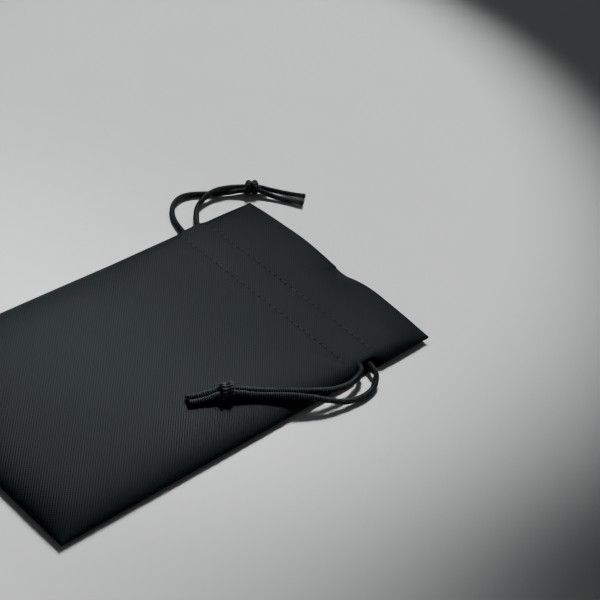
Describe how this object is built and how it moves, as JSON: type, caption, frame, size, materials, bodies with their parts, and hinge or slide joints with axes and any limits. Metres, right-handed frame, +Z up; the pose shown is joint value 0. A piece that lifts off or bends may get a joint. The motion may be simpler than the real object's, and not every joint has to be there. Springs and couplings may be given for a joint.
{
  "type": "soft drawstring glasses pouch",
  "caption": "Flat rectangular drawstring pouch in embossed non-woven cloth, with a stitched cord channel below the mouth and a knotted cord loop at each side.",
  "frame": {"origin": "on the floor under the middle of the flat pouch, measured without its cords", "axes": "+X across the width, +Y along the length towards the mouth, +Z up from the surface that the pouch lies on"},
  "size_m": [0.1303, 0.2061, 0.0126],
  "materials": {
    "cloth": "matte embossed non-woven",
    "cord": "matte round braid",
    "thread": "matte thread"
  },
  "bodies": {
    "pouch": {"back_hem": "cloth", "back_lower_stitches": "thread", "back_panel": "cloth", "back_upper_stitches": "thread", "bottom_seam": "thread", "front_hem": "cloth", "front_lower_stitches": "thread", "front_panel": "cloth", "front_upper_stitches": "thread", "left_side_seam": "thread", "right_side_seam": "thread"},
    "right_cord": {"right_cord_back_strand": "cord", "right_cord_channel_run": "cord", "right_cord_front_strand": "cord", "right_cord_knot": "cord", "right_cord_tail_a": "cord", "right_cord_tail_b": "cord"},
    "left_cord": {"left_cord_back_strand": "cord", "left_cord_channel_run": "cord", "left_cord_front_strand": "cord", "left_cord_knot": "cord", "left_cord_tail_a": "cord", "left_cord_tail_b": "cord"}
  },
  "joints": [
    {"name": "right_cord_pull", "type": "slide", "parent": "pouch", "child": "right_cord", "axis": [1, 0, 0], "range_m": [0, 0.008]},
    {"name": "left_cord_pull", "type": "slide", "parent": "pouch", "child": "left_cord", "axis": [-1, 0, 0], "range_m": [0, 0.008]}
  ]
}
